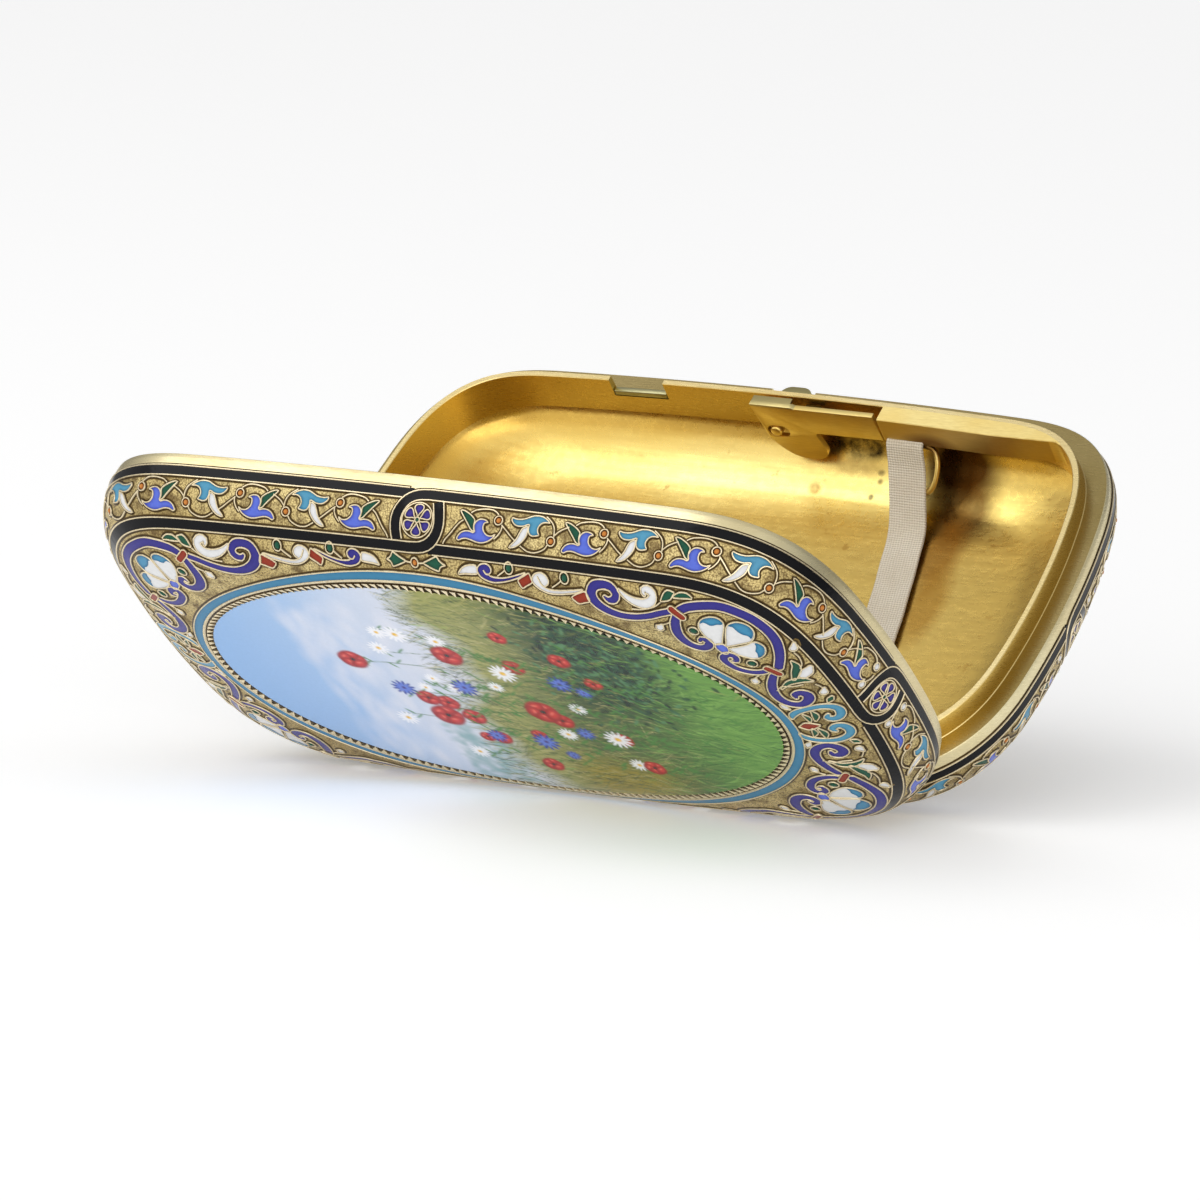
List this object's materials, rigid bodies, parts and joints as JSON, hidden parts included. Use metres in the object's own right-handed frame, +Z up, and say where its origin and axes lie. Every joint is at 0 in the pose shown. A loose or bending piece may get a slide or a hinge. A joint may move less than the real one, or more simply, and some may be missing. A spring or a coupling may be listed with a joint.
{
  "type": "cigarette case",
  "caption": "Domed pocket case of two enamelled shells hinged on one long side, gilt inside, with a sliding thumb latch and a woven holding strap, standing open.",
  "frame": {"origin": "middle of the footprint at the bottom of the standing open case", "axes": "+X along the hinge, +Y towards the half with the latch and strap, +Z up"},
  "size_m": [0.1106, 0.1004, 0.0469],
  "materials": {
    "enamelled_shell": "glossy enamel between gilt wires",
    "gilt_satin": "satin gilt",
    "gilt_polished": "polished gilt",
    "gilt_wire": "bright drawn wire",
    "enamel_plaque": "glossy painted enamel",
    "woven_tape": "fine woven tape"
  },
  "bodies": {
    "base": {"base_shell": "enamelled_shell", "base_frame": "gilt_satin", "base_hinge_bearer": "gilt_satin", "base_knuckle_1": "gilt_satin", "base_knuckle_2": "gilt_satin", "base_knuckle_3": "gilt_satin", "hinge_pin": "gilt_wire", "latch_guide_pin": "gilt_wire", "latch_spring": "gilt_wire", "clasp_block": "gilt_polished", "gate_plate": "gilt_polished", "strap_ring": "gilt_wire", "strap_staple": "gilt_wire", "holding_strap": "woven_tape"},
    "lid": {"lid_shell": "enamelled_shell", "lid_frame": "gilt_satin", "lid_hinge_bearer": "gilt_satin", "lid_knuckle_1": "gilt_satin", "lid_knuckle_2": "gilt_satin", "lid_catch": "gilt_polished", "lid_plaque": "enamel_plaque", "plaque_border": "gilt_satin"},
    "latch": {"latch_slide": "gilt_polished"}
  },
  "joints": [
    {"name": "lid_hinge", "type": "hinge", "parent": "base", "child": "lid", "pos_m": [0, 0, 0.00748], "axis": [-1, 0, 0], "range_deg": [0, 99.8]},
    {"name": "latch_travel", "type": "slide", "parent": "base", "child": "latch", "axis": [1, 0, 0], "range_m": [-0.001, 0.00025], "stiffness_N_per_m": 150, "deforming": ["latch_spring"]}
  ]
}
